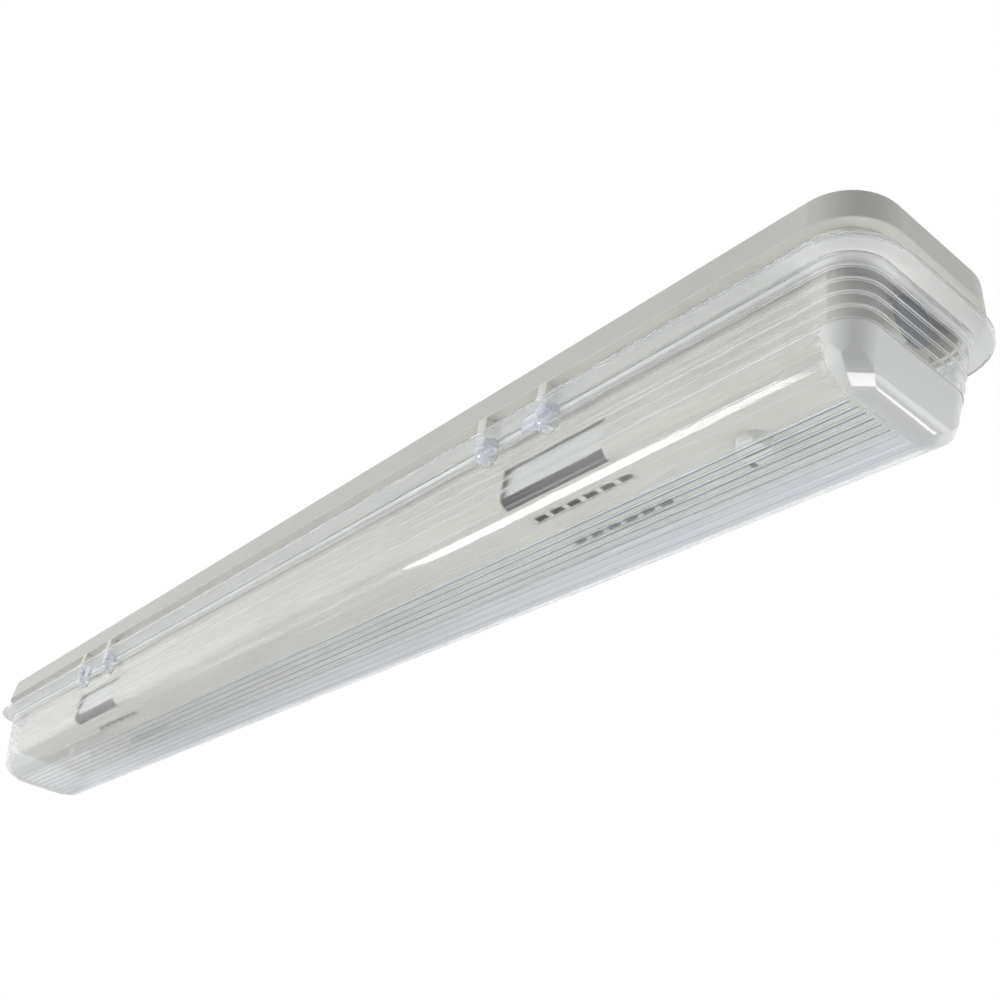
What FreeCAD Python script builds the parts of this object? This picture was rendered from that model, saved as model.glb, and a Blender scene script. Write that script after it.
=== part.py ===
import FreeCAD, Part
import math
import os
import re
import Sketcher

# A vapor-tight ceiling light, 4 ft size.
# The origin is the middle of the back, where the light meets the ceiling. X runs along
# the light, Y across it and Z up, so everything hangs below z = 0. Sizes are in
# millimetres and degrees.

DRIVING_SIZES = {
    # Housing: a shallow tub with an outer wall, a ledge turned inwards and a skirt below it
    "base_length": 1270,
    "base_width": 143,
    "wall_drop": 23,
    "wall_draft": 3.5,
    "corner_radius": 36,
    "back_edge_radius": 3,
    "base_wall": 2.5,
    "ledge_depth": 8,
    "skirt_drop": 14,
    "channel_leg": 2,
    "groove_width": 5,
    "groove_depth": 11.5,
    # Latches: a web and a tongue on the housing, a hollow lug on the diffuser
    "station_offset": 348,
    "latch_pitch": 64,
    "web_width": 9,
    "tongue_width": 6,
    "tongue_thickness": 2,
    "tongue_drop": 10,
    "catch_height": 2,
    "catch_proud": 0.4,
    "lug_radius": 9.6,
    "lug_wall": 1.7,
    "lug_drop": 8.5,
    "latch_clearance": 0.6,
    "grip_length": 13,
    "grip_drop": 12.5,
    "grip_thickness": 1.6,
    # Seal
    "gasket_height": 4,
    "seal_gap": 0.3,
    "lip_thickness": 2.4,
    # Diffuser
    "brim_proud": 3.9,
    "brim_thickness": 2.5,
    "bead_width": 1.4,
    "bead_height": 0.8,
    "collar_proud": 1.3,
    "collar_height": 1.8,
    "diffuser_inset": 9.3,
    "diffuser_wall": 2.3,
    "diffuser_drop": 73.5,
    "diffuser_draft": 9.5,
    "side_radius": 25.7,
    "end_radius": 10,
    "corner_bend": 24,
    "section_margin": 0.05,
    "contour_pitch": 8.15,
    "contour_width": 1.2,
    "contour_proud": 0.5,
    "floor_rib_pitch": 7,
    "floor_rib_width": 1.4,
    "floor_rib_height": 0.7,
    "floor_rib_end_gap": 30,
    # Inner cover
    "cover_end_gap": 43,
    "cover_side_gap": 24.5,
    "cover_drop": 62,
    "cover_rise": 3,
    "cover_wall": 1.5,
    "cover_bend": 7,
    "notch_offset": 369,
    "notch_length": 102,
    "notch_height": 31,
    "notch_cut": 9,
    "vent_pitch": 16.5,
    "vent_shift": 3,
    "vent_length": 11.5,
    "vent_width": 5.6,
    "vent_inset": 28.5,
    "vent_strip_width": 8.6,
    "vent_strip_depth": 0.7,
    "vent_strip_end": 4,
    "locating_hole_radius": 3,
    "locating_hole_step": 17,
    "locating_hole_side": 19,
    "end_plate_thickness": 2.5,
    "end_lip_depth": 8,
    "fit_gap": 0.3,
    # End buffer in the right end plate
    "buffer_drop": 29.5,
    "buffer_radius": 16.5,
    "buffer_post_length": 19,
    "buffer_neck_radius": 7,
    "buffer_head_radius": 9,
    "buffer_flange_radius": 12,
    "buffer_flange_thickness": 3,
    "buffer_stem_radius": 5,
    "buffer_stem_length": 10,
    "buffer_pad_thickness": 3,
    # Gear tray, which is the reflector too
    "tray_end_gap": 1,
    "tray_side_gap": 1.5,
    "tray_depth": 40,
    "tray_flare": 4,
    "tray_bend": 4,
    "tray_sheet": 1,
    "tray_step": 13,
    # Turn studs and the bosses that hold them
    "stud_inset": 87,
    "stud_radius": 4,
    "running_gap": 0.1,
    "knob_radius": 11,
    "knob_height": 8,
    "knob_slot_width": 2.4,
    "knob_slot_depth": 2.5,
    "knob_flat": 2,
    "sleeve_radius": 6.5,
    "stud_bar_length": 15,
    "stud_bar_width": 6,
    "stud_bar_height": 4,
    "boss_radius": 12,
    "boss_cavity_radius": 9,
    "boss_floor": 3,
    "boss_play": 1,
    # Light source
    "board_thickness": 1.6,
    "board_end_gap": 31.5,
    "board_edge_gap": 6,
    "board_middle_gap": 16,
    "board_gap": 1,
    "chip_size": 3,
    "chip_height": 0.7,
    "connector_length": 12,
    "connector_width": 6,
    "connector_height": 4,
    "screw_radius": 1.5,
    "screw_head_radius": 2.8,
    "screw_head_height": 1.8,
    # Driver
    "driver_offset": 90,
    "driver_length": 250,
    "driver_width": 40,
    "driver_height": 24,
    "driver_sheet": 1,
    "post_side": 6,
    "post_height": 3,
    "circuit_thickness": 1.6,
    "circuit_margin": 3,
    "winding_length": 28,
    "winding_width": 22,
    "winding_height": 13,
    "capacitor_radius": 5,
    "capacitor_height": 12,
    "capacitor_pitch": 12,
    "tab_length": 9,
    "tab_width": 16,
    # Mains terminals and the earth lug
    "terminal_run": 110,
    "terminal_length": 18,
    "terminal_width": 34,
    "terminal_height": 16,
    "terminal_pitch": 10,
    "terminal_row": 5,
    "terminal_screw_radius": 1.8,
    "terminal_screw_depth": 3,
    "ear_reach": 8,
    "ear_thickness": 3,
    "earth_run": 60,
    "earth_ring_radius": 5,
    "earth_ring_thickness": 1,
    "earth_barrel_radius": 1.9,
    "earth_barrel_length": 6,
    "earth_head_radius": 3.5,
    "earth_head_height": 3,
    # Leads inside the housing
    "lead_radius": 1.2,
    "lead_height": 8,
    "lead_bend": 3,
    "lead_sway": 4,
    "lead_grip": 4,
    "led_lead_side": 4.5,
    "led_lead_hole_radius": 2.5,
    # Cable gland in the end wall
    "gland_height": 11.5,
    "gland_thread_radius": 6,
    "gland_bore": 3.3,
    "gland_flat": 15,
    "gland_pad_radius": 9.5,
    "gland_pad_depth": 4,
    "gland_collar": 4,
    "gland_neck": 9,
    "gland_neck_radius": 5.6,
    "gland_throat": 4.8,
    "gland_seal_length": 7,
    "gland_cap_length": 12,
    "gland_cap_wall": 1.5,
    "gland_nut_thickness": 4,
    # Entries and fixings in the back
    "plug_inset": 75,
    "plug_radius": 10,
    "plug_flange": 3,
    "plug_flange_thickness": 2,
    "fixing_inset": 185,
    "fixing_hole_radius": 3,
    "fixing_seal_radius": 8,
    "fixing_seal_thickness": 2,
    # How far a cutting tool runs past what it cuts
    "overrun": 2,
}
CONTOUR_RIBS = 5
FLOOR_RIBS = 9
VENTS = 6
CHIPS_PER_BOARD = 14
CHIPS_TO_SCREW = 6
CHIPS_TO_SOCKET = 5

doc = FreeCAD.newDocument("vapor_tight_light")
sheet = doc.addObject("Spreadsheet::Sheet", "Sizes")
for row, (alias, value) in enumerate(DRIVING_SIZES.items(), 1):
    sheet.set("A%d" % row, alias)
    sheet.set("B%d" % row, str(value))
    sheet.setAlias("B%d" % row, alias)
doc.recompute()

# Heights and half sizes that several pieces share, as formulas of the driving sizes
LEDGE = "(-wall_drop)"
RIM = "(-wall_drop - skirt_drop)"
BRIM_TOP = "(-wall_drop - skirt_drop - seal_gap)"
BRIM_LOW = "(-wall_drop - skirt_drop - seal_gap - brim_thickness)"
COVER_LOW = "(-wall_drop - cover_drop)"
COVER_TOP = "(-wall_drop + cover_rise)"
WEB_TOP = "(-wall_drop - tray_step)"
WEB_LOW = "(-wall_drop - tray_step - tray_sheet)"
HALF_BASE = "(base_length / 2)"
HALF_COVER = "(base_length / 2 - cover_end_gap)"
COVER_WIDTH = "(base_width - 2 * cover_side_gap)"
STUD_OFFSET = "(base_length / 2 - cover_end_gap - stud_inset)"
PLUG_PLACE = "(base_length / 2 - plug_inset)"
FIXING_PLACE = "(base_length / 2 - fixing_inset)"
TRAY_MOUTH = "(base_width - 2 * cover_side_gap - 2 * cover_wall - 2 * tray_side_gap)"
TRAY_RUN = "((tray_depth - tray_bend) * tan(tray_flare) + tray_bend / cos(tray_flare))"
WEB_HALF = "(%s / 2 - %s)" % (TRAY_MOUTH, TRAY_RUN)
BOARD_LENGTH = "(base_length / 2 - cover_end_gap - board_end_gap - board_gap / 2)"
BOARD_WIDTH = "(%s - board_edge_gap - board_middle_gap / 2)" % WEB_HALF
BOARD_SIDE = "(%s / 2 + board_middle_gap / 2)" % BOARD_WIDTH
DRIVER_PLACE = "(-driver_offset)"
DRIVER_START = "(-driver_offset - driver_length / 2)"
TERMINAL_PLACE = "(-driver_offset - driver_length / 2 - terminal_run)"
EARTH_PLACE = "(-driver_offset - driver_length / 2 - earth_run)"
COVER_FLOOR = "(-wall_drop - cover_drop + cover_wall)"
CHIP_PITCH = "(%s / %d)" % (BOARD_LENGTH, CHIPS_PER_BOARD)
BOARD_MIDDLE = "((%s + board_gap) / 2)" % BOARD_LENGTH
SOCKET_PLACE = "(%s - %d * %s)" % (BOARD_MIDDLE, CHIPS_TO_SOCKET, CHIP_PITCH)
BUFFER_MIDDLE = "(-wall_drop - buffer_drop)"
EARTH_SIDE = "(-terminal_pitch)"
LEAD_LEVEL = "(-wall_drop - tray_step + lead_height)"
BARREL_LEVEL = "(-wall_drop - tray_step + earth_barrel_radius)"
SKIRT_INSET = "ledge_depth"
GROOVE_INSET = "(ledge_depth + channel_leg)"
GROOVE_END = "(ledge_depth + channel_leg + groove_width)"
OPENING_INSET = "(ledge_depth + 2 * channel_leg + groove_width)"
LATCH_SIDE = "((base_width - ledge_depth) / 2)"
DIFFUSER_SIDE = "(base_width / 2 - diffuser_inset)"
LIP_INSET = "(ledge_depth + channel_leg + (groove_width - lip_thickness) / 2)"


def bound(formula):
    """A formula of size names, written as an expression on the sheet."""
    def cell(match):
        word = match.group()
        return "Sizes." + word if word in DRIVING_SIZES else word
    return re.sub(r"[a-z][a-z_]*", cell, formula)


def size(formula):
    """What a formula of size names comes to, in millimetres."""
    return float(doc.getObject("Sizes").evalExpression(re.sub("Sizes[.]", "", bound(formula))))


def bind(item, sizes):
    for name, formula in sizes.items():
        item.setExpression(name, bound(formula))


def place(item, at, turn=None):
    """Puts an object at three formulas, turned about an axis by an angle."""
    if turn:
        axis, angle = turn
        item.Placement.Rotation = FreeCAD.Rotation(FreeCAD.Vector(*axis), angle)
    for letter, formula in zip("xyz", at):
        item.setExpression("Placement.Base." + letter, bound(formula))
    return item


UPRIGHT = (0, 0, 1)
ALONG_X = ((0, 1, 0), 90)
UPSIDE_DOWN = ((1, 0, 0), 180)


def block(name, sizes, at):
    """A box that stands on its point, centred over it."""
    item = doc.addObject("Part::Box", name)
    bind(item, dict(zip(("Length", "Width", "Height"), sizes)))
    middle_x = "%s - (%s) / 2" % (at[0], sizes[0])
    middle_y = "%s - (%s) / 2" % (at[1], sizes[1])
    return place(item, (middle_x, middle_y, at[2]))


def rod(name, radius, height, at, turn=None):
    item = doc.addObject("Part::Cylinder", name)
    bind(item, {"Radius": radius, "Height": height})
    return place(item, at, turn)


def ball(name, radius, at):
    item = doc.addObject("Part::Sphere", name)
    bind(item, {"Radius": radius})
    return place(item, at)


def hexagon(name, across_flats, height, at, turn=None):
    item = doc.addObject("Part::Prism", name)
    item.Polygon = 6
    bind(item, {"Circumradius": "(%s) / sqrt(3)" % across_flats, "Height": height})
    return place(item, at, turn)


def cone(name, low_radius, high_radius, height, at, turn=None):
    item = doc.addObject("Part::Cone", name)
    bind(item, {"Radius1": low_radius, "Radius2": high_radius, "Height": height})
    return place(item, at, turn)


def together(name, pieces):
    """One object that holds several pieces."""
    if len(pieces) == 1:
        return pieces[0]
    item = doc.addObject("Part::MultiFuse", name)
    item.Shapes = pieces
    return item


def cut(name, solid, tools):
    item = doc.addObject("Part::Cut", name)
    item.Base = solid
    item.Tool = together(name + "_tools", tools)
    return item


def common(name, pieces):
    item = doc.addObject("Part::MultiCommon", name)
    item.Shapes = pieces
    return item


def sketch_on(body, role, name):
    """A sketch on one of its body's own origin planes."""
    sketch = body.newObject("Sketcher::SketchObject", name)
    plane = [feature for feature in body.Origin.OriginFeatures if feature.Role == role][0]
    sketch.AttachmentSupport = [(plane, "")]
    sketch.MapMode = "FlatFace"
    return sketch


def dimension(sketch, name, formula, kind, *elements):
    index = sketch.addConstraint(Sketcher.Constraint(kind, *elements, size(formula)))
    sketch.renameConstraint(index, name)
    sketch.setExpression("Constraints." + name, bound(formula))


def draw_rounded_rectangle(sketch, length, width, radius):
    """Four sides joined by four quarter circles, with its middle on the origin."""
    half_length, half_width, corner = size(length) / 2, size(width) / 2, size(radius)
    flat_x, flat_y = half_length - corner, half_width - corner
    quarter = math.pi / 2
    up = FreeCAD.Vector(0, 0, 1)
    sides = (
        ((-flat_x, -half_width), (flat_x, -half_width)),
        ((half_length, -flat_y), (half_length, flat_y)),
        ((flat_x, half_width), (-flat_x, half_width)),
        ((-half_length, flat_y), (-half_length, -flat_y)),
    )
    centres = ((flat_x, -flat_y), (flat_x, flat_y), (-flat_x, flat_y), (-flat_x, -flat_y))
    for turn, ((start, end), centre) in enumerate(zip(sides, centres)):
        line = Part.LineSegment(FreeCAD.Vector(*start, 0), FreeCAD.Vector(*end, 0))
        circle = Part.Circle(FreeCAD.Vector(*centre, 0), up, corner)
        first = (turn - 1) * quarter
        sketch.addGeometry(line, False)
        sketch.addGeometry(Part.ArcOfCircle(circle, first, first + quarter), False)
    for side in range(4):
        line, arc, next_line = 2 * side, 2 * side + 1, (2 * side + 2) % 8
        sketch.addConstraint(Sketcher.Constraint("Tangent", line, 2, arc, 1))
        sketch.addConstraint(Sketcher.Constraint("Tangent", arc, 2, next_line, 1))
        level = "Horizontal" if side % 2 == 0 else "Vertical"
        sketch.addConstraint(Sketcher.Constraint(level, line))
    for arc in (3, 5, 7):
        sketch.addConstraint(Sketcher.Constraint("Equal", 1, arc))
    sketch.addConstraint(Sketcher.Constraint("Symmetric", 0, 1, 4, 1, -1, 1))
    dimension(sketch, "length", length, "DistanceX", 6, 1, 2, 1)
    dimension(sketch, "width", width, "DistanceY", 0, 1, 4, 1)
    dimension(sketch, "corner", radius, "Radius", 1)


def draw_trough_section(sketch, mouth, drop, draft, radius):
    """A mouth on the first axis, two walls that draw in below it and a rounded floor."""
    half, depth, bend = size(mouth) / 2, size(drop), size(radius)
    slope = math.radians(size(draft))
    centre_y = bend - depth
    centre_x = half + centre_y * math.tan(slope) - bend / math.cos(slope)
    touch_x = centre_x + bend * math.cos(slope)
    touch_y = centre_y - bend * math.sin(slope)
    up = FreeCAD.Vector(0, 0, 1)

    def line(x0, y0, x1, y1):
        sketch.addGeometry(Part.LineSegment(FreeCAD.Vector(x0, y0, 0), FreeCAD.Vector(x1, y1, 0)), False)

    def arc(x, first, last):
        circle = Part.Circle(FreeCAD.Vector(x, centre_y, 0), up, bend)
        sketch.addGeometry(Part.ArcOfCircle(circle, first, last), False)

    line(-half, 0, half, 0)
    line(half, 0, touch_x, touch_y)
    arc(centre_x, -math.pi / 2, -slope)
    line(centre_x, -depth, -centre_x, -depth)
    arc(-centre_x, math.pi + slope, 3 * math.pi / 2)
    line(-touch_x, touch_y, -half, 0)
    rules = (
        ("Coincident", 0, 2, 1, 1),
        ("Tangent", 1, 2, 2, 2),
        ("Tangent", 2, 1, 3, 1),
        ("Tangent", 3, 2, 4, 2),
        ("Tangent", 4, 1, 5, 1),
        ("Coincident", 5, 2, 0, 1),
        ("Symmetric", 0, 1, 0, 2, -2),
        ("PointOnObject", 0, 1, -1),
        ("Equal", 2, 4),
        ("Horizontal", 3),
        ("Equal", 1, 5),
    )
    for rule in rules:
        sketch.addConstraint(Sketcher.Constraint(*rule))
    dimension(sketch, "mouth", mouth, "DistanceX", 0, 1, 0, 2)
    dimension(sketch, "bend", radius, "Radius", 2)
    dimension(sketch, "drop", drop, "DistanceY", 3, 1, -1, 1)
    # The wall's slope is held by how far it draws in over its own height
    run = "((%s) / 2 * cos(%s) + (%s - (%s)) * sin(%s) - (%s))" % (mouth, draft, radius, drop, draft, radius)
    floor = "(2 * %s / cos(%s))" % (run, draft)
    dimension(sketch, "floor", floor, "DistanceX", 3, 2, 3, 1)


def rounded_block(name, length, width, radius, height, low, draft=None, hangs=False):
    """An upright rounded rectangle; with a draft it narrows away from its sketch."""
    body = doc.addObject("PartDesign::Body", name)
    sketch = sketch_on(body, "XY_Plane", name + "_outline")
    draw_rounded_rectangle(sketch, length, width, radius)
    pad = body.newObject("PartDesign::Pad", name + "_pad")
    pad.Profile = sketch
    pad.Reversed = hangs
    bind(pad, {"Length": height})
    if draft:
        bind(pad, {"TaperAngle": "-" + draft})
    return place(body, ("0", "0", low))


def inset_block(name, inset, height, low, draft=None, hangs=False):
    """A rounded block that lies inside the housing's outline by the same inset all round."""
    outline = ["%s - 2 * %s" % (side, inset) for side in ("base_length", "base_width")]
    return rounded_block(name, *outline, "corner_radius - " + inset, height, low, draft, hangs)


def trough_bar(name, role, mouth, drop, draft, radius, length, at, turn=None):
    """The trough section on a plane, run an equal way to both sides of it."""
    body = doc.addObject("PartDesign::Body", name)
    sketch = sketch_on(body, role, name + "_section")
    draw_trough_section(sketch, mouth, drop, draft, radius)
    pad = body.newObject("PartDesign::Pad", name + "_pad")
    pad.Profile = sketch
    pad.Midplane = True
    bind(pad, {"Length": length})
    return place(body, at, turn)


def finish(name, item):
    """Gives a sub-part its name and lists it for export."""
    item.Label = name
    SUB_PARTS[name] = item
    return item


SUB_PARTS = {}
SIDES = (("right", 1), ("left", -1))


def latch_places():
    """The eight latches: two to a station, two stations to a side."""
    for end in (1, -1):
        for step in (1, -1):
            for side in (1, -1):
                along = "(%d * (station_offset + %d * latch_pitch / 2))" % (end, step)
                yield along, side


def housing_latches():
    """A web in the recess under the ledge, with a tongue and its catch below it."""
    pieces = []
    for number, (along, side) in enumerate(latch_places(), 1):
        across = "(%d * %s)" % (side, LATCH_SIDE)
        web_size = ("web_width", "ledge_depth", "skirt_drop")
        pieces.append(block("web_%d" % number, web_size, (along, across, RIM)))
        tongue_size = ("tongue_width", "tongue_thickness", "tongue_drop")
        tongue_low = "%s - tongue_drop" % RIM
        pieces.append(block("tongue_%d" % number, tongue_size, (along, across, tongue_low)))
        catch_size = ("tongue_width", "tongue_thickness + catch_proud", "catch_height")
        catch_across = "%s + %d * catch_proud / 2" % (across, side)
        pieces.append(block("catch_%d" % number, catch_size, (along, catch_across, tongue_low)))
    return pieces


def stud_bosses():
    """The two hollow posts that stand from the back and lock the turn studs."""
    posts, holes = [], []
    for name, end in SIDES:
        along = "(%d * %s)" % (end, STUD_OFFSET)
        height = "(-base_wall / 2 - %s)" % WEB_TOP
        posts.append(rod("boss_" + name, "boss_radius", height, (along, "0", WEB_TOP)))
        floor_top = "%s + boss_floor" % WEB_TOP
        room = "stud_bar_height + fit_gap + boss_play"
        holes.append(rod("boss_room_" + name, "boss_cavity_radius", room, (along, "0", floor_top)))
        key_low = "%s - overrun" % WEB_TOP
        key = ("stud_bar_width + boss_play", "stud_bar_length + boss_play", "boss_floor + 2 * overrun")
        holes.append(block("boss_key_" + name, key, (along, "0", key_low)))
        shank = "stud_radius + running_gap"
        holes.append(rod("boss_eye_" + name, shank, "boss_floor + 2 * overrun", (along, "0", key_low)))
    return posts, holes


def base_housing():
    """The moulded tub: drafted wall, ledge, skirt with its seal groove, latches and bosses."""
    wall = rounded_block("wall", "base_length", "base_width", "corner_radius",
                         "wall_drop", LEDGE, "wall_draft")
    doc.recompute()
    back = [name for name, edge in named_edges(wall) if edge.BoundBox.ZMin > size(LEDGE) / 2
            and edge.BoundBox.ZLength < 1e-6]
    round_edges(wall, back, "back_edge_radius")
    skirt = inset_block("skirt", SKIRT_INSET, "skirt_drop", RIM)
    room = inset_block("room", "base_wall", "wall_drop - 2 * base_wall",
                       "(%s + base_wall)" % LEDGE, "wall_draft")
    opening = inset_block("opening", OPENING_INSET, "skirt_drop + base_wall + 2 * overrun",
                          "%s - overrun" % RIM)
    groove_outer = inset_block("groove_outer", GROOVE_INSET, "groove_depth + overrun",
                               "%s - overrun" % RIM)
    groove_inner = inset_block("groove_inner", GROOVE_END, "groove_depth + 2 * overrun",
                               "%s - 1.5 * overrun" % RIM)
    groove = cut("groove", groove_outer, [groove_inner])
    posts, post_holes = stud_bosses()
    shell = cut("shell", together("tub", [wall, skirt]), [room, opening, groove])
    # The gland's seat is a flat pad on both faces of the sloping end wall
    pad_start = "(-%s)" % HALF_BASE
    gland_pad = rod("gland_pad", "gland_pad_radius", "gland_pad_depth",
                    (pad_start, "0", "-gland_height"), ALONG_X)
    solid = together("tub_with_latches", [shell, gland_pad] + posts + housing_latches())
    holes = list(post_holes)
    holes.append(rod("gland_hole", "gland_thread_radius + running_gap", "4 * gland_pad_depth",
                     ("%s - 2 * gland_pad_depth" % pad_start, "0", "-gland_height"), ALONG_X))
    holes.append(rod("plug_hole", "plug_radius + running_gap", "base_wall + 2 * overrun",
                     (PLUG_PLACE, "0", "-base_wall - overrun")))
    for name, end in SIDES:
        holes.append(rod("fixing_hole_" + name, "fixing_hole_radius", "base_wall + 2 * overrun",
                         ("(%d * %s)" % (end, FIXING_PLACE), "0", "-base_wall - overrun")))
    finish("base_housing", cut("housing", solid, holes))


def named_edges(item):
    return [("Edge%d" % number, edge) for number, edge in enumerate(item.Shape.Edges, 1)]


def round_edges(body, names, radius):
    """Rounds some edges of a body's last feature."""
    fillet = body.newObject("PartDesign::Fillet", body.Name + "_fillet")
    fillet.Base = (body.Group[-2], names)
    bind(fillet, {"Radius": radius})
    body.Tip = fillet


def gasket():
    """The poured seal that fills the bottom of the groove."""
    low = "(%s + groove_depth - gasket_height)" % RIM
    outer = inset_block("gasket_outer", GROOVE_INSET, "gasket_height", low)
    inner = inset_block("gasket_inner", GROOVE_END, "gasket_height + 2 * overrun", "%s - overrun" % low)
    finish("gasket", cut("gasket_ring", outer, [inner]))


def trough(name, inward):
    """A drafted trough: big rounds along its sides, small ones at its ends, wide ones at its corners."""
    length = "(base_length - 2 * diffuser_inset - 2 * (%s))" % inward
    width = "(base_width - 2 * diffuser_inset - 2 * (%s))" % inward
    drop = "(diffuser_drop - (%s))" % inward
    corner = "(corner_radius - diffuser_inset - (%s))" % inward
    plan = rounded_block(name + "_plan", length, width, corner, drop + " + overrun", BRIM_LOW,
                         "diffuser_draft", hangs=True)
    # Both bars are a hair bigger than the plan, so that no two walls lie in one plane
    cross = trough_bar(name + "_cross", "YZ_Plane", width + " + 2 * section_margin", drop,
                       "diffuser_draft", "(side_radius - (%s))" % inward,
                       length + " + 2 * overrun", ("0", "0", BRIM_LOW))
    along = trough_bar(name + "_along", "XZ_Plane", length + " + 2 * section_margin",
                       drop + " + section_margin", "diffuser_draft", "(end_radius - (%s))" % inward,
                       width + " + 2 * overrun", ("0", "0", BRIM_LOW))
    # The corners are rounded by two bars that lie across them
    slant = "((%s + %s - 4 * %s) * cos(45) + 2 * %s)" % (length, width, corner, corner)
    corners = [trough_bar("%s_corners_%d" % (name, angle), "YZ_Plane", slant + " + 2 * section_margin",
                          drop + " + 2 * section_margin", "diffuser_draft",
                          "(corner_bend - (%s))" % inward, "2 * " + length,
                          ("0", "0", BRIM_LOW), (UPRIGHT, angle)) for angle in (45, 135)]
    return common(name, [plan, cross, along] + corners)


def contour_ribs():
    """Thin raised lines round the walls, one below the other."""
    ribs = []
    for number in range(1, CONTOUR_RIBS + 1):
        depth = "(%d * contour_pitch)" % number
        inset = "(diffuser_inset + %s * tan(diffuser_draft) - contour_proud)" % depth
        low = "(%s - %s)" % (BRIM_LOW, depth)
        ribs.append(inset_block("contour_rib_%d" % number, inset, "contour_width", low))
    return ribs


def floor_ribs():
    """Lengthwise ribs that stand up from the inside of the diffuser's floor."""
    ribs = []
    length = "(base_length - 2 * (diffuser_inset + floor_rib_end_gap))"
    low = "(%s - diffuser_drop + diffuser_wall / 2)" % BRIM_LOW
    height = "(floor_rib_height + diffuser_wall / 2)"
    for number in range(FLOOR_RIBS):
        across = "(%s * floor_rib_pitch)" % (number - (FLOOR_RIBS - 1) / 2)
        rib_size = (length, "floor_rib_width", height)
        ribs.append(block("floor_rib_%d" % (number + 1), rib_size, ("0", across, low)))
    return ribs


def lugs(name, inward):
    """The round-ended lugs below the brim; drawn in by a wall they are the lugs' pockets."""
    pieces = []
    for number, (along, side) in enumerate(latch_places(), 1):
        across = "(%d * %s)" % (side, DIFFUSER_SIDE)
        low = "(%s - lug_drop)" % BRIM_LOW
        radius = "lug_radius - (%s)" % inward
        pieces.append(rod("%s_%d" % (name, number), radius, "lug_drop", (along, across, low)))
        pieces.append(ball("%s_end_%d" % (name, number), radius, (along, across, low)))
    return pieces


def grips():
    """A flat finger tab beside the outer lug of each pair, for pulling the diffuser down."""
    pieces = []
    for end_name, end in SIDES:
        for side_name, side in (("far", 1), ("near", -1)):
            reach = "(station_offset + latch_pitch / 2 - lug_radius + lug_wall - grip_length / 2)"
            pieces.append(block("grip_%s_%s" % (end_name, side_name),
                                ("grip_length", "grip_thickness", "grip_drop + brim_thickness / 2"),
                                ("(%d * %s)" % (end, reach), "(%d * %s)" % (side, LATCH_SIDE),
                                 "(%s - grip_drop)" % BRIM_LOW)))
    return pieces


def brim_rings():
    """A bead under the brim's outer edge, and a collar where the brim meets the walls."""
    bead_low = "(%s - bead_height)" % BRIM_LOW
    bead = cut("brim_bead", inset_block("bead_outer", "(-brim_proud)", "bead_height", bead_low),
               [inset_block("bead_inner", "(bead_width - brim_proud)", "bead_height + 2 * overrun",
                            "(%s - overrun)" % bead_low)])
    collar = inset_block("collar", "(diffuser_inset - collar_proud)", "collar_height",
                         "(%s - collar_height)" % BRIM_LOW)
    return [bead, collar]


def diffuser():
    """The clear trough with its brim, its sealing lip, its hollow lugs, its grips and its ribs."""
    brim = inset_block("brim", "(-brim_proud)", "brim_thickness", BRIM_LOW)
    lip_low = "(%s - brim_thickness / 2)" % BRIM_TOP
    lip_height = "(brim_thickness / 2 + groove_depth - gasket_height)"
    lip_outer = inset_block("lip_outer", LIP_INSET, lip_height, lip_low)
    lip_bore = inset_block("lip_bore", "(%s + lip_thickness)" % LIP_INSET,
                           "brim_thickness + groove_depth", "(%s - overrun)" % BRIM_LOW)
    outside = together("diffuser_outside",
                       [trough("trough", "0"), brim, lip_outer] + brim_rings() + contour_ribs())
    shell = cut("diffuser_shell", outside, [trough("trough_room", "diffuser_wall"), lip_bore])
    lug_walls = cut("lug_walls", together("lugs", lugs("lug", "0")),
                    lugs("lug_pocket", "lug_wall") + [trough("lug_trim", "diffuser_wall / 2")])
    slots = []
    for number, (along, side) in enumerate(latch_places(), 1):
        slot = ("tongue_width + 2 * latch_clearance", "tongue_thickness + 2 * latch_clearance",
                "brim_thickness + 2 * overrun")
        across = "(%d * %s)" % (side, LATCH_SIDE)
        slots.append(block("latch_slot_%d" % number, slot, (along, across, "%s - overrun" % BRIM_LOW)))
    hollow = cut("diffuser_slotted", together("diffuser_walls", [shell, lug_walls] + grips()), slots)
    finish("diffuser", together("diffuser_ribbed", [hollow] + floor_ribs()))


def channel(name, inward, length, middle="0"):
    """The inner cover's section, drawn in by some distance, run along the light."""
    width = "(%s - 2 * (%s))" % (COVER_WIDTH, inward)
    drop = "(cover_rise + cover_drop - (%s))" % inward
    return trough_bar(name, "YZ_Plane", width, drop, "0 deg", "(cover_bend - (%s))" % inward,
                      length, (middle, "0", COVER_TOP))


def vents():
    """A row of slots beside each notch, in a shallow strip with round ends."""
    pieces = []
    low = "%s - overrun" % COVER_LOW
    through = "cover_wall + 2 * overrun"
    strip_run = "(%d * vent_pitch + vent_length + 2 * vent_strip_end - vent_strip_width)" % (VENTS - 1)
    strip_depth = "vent_strip_depth + overrun"
    for end_name, end in SIDES:
        middle = "(%d * notch_offset + vent_shift)" % end
        for side_name, side in (("far", 1), ("near", -1)):
            across = "(%d * (%s / 2 - vent_inset))" % (side, COVER_WIDTH)
            label = "vent_%s_%s" % (end_name, side_name)
            pieces.append(block(label + "_strip", (strip_run, "vent_strip_width", strip_depth),
                                (middle, across, low)))
            for tip in (1, -1):
                pieces.append(rod("%s_strip_tip_%d" % (label, tip + 2), "vent_strip_width / 2", strip_depth,
                                  ("(%s + %d * %s / 2)" % (middle, tip, strip_run), across, low)))
            for number in range(VENTS):
                along = "(%s + %s * vent_pitch)" % (middle, number - (VENTS - 1) / 2)
                pieces.append(block("%s_%d" % (label, number + 1), ("vent_length", "vent_width", through),
                                    (along, across, low)))
    return pieces


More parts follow.
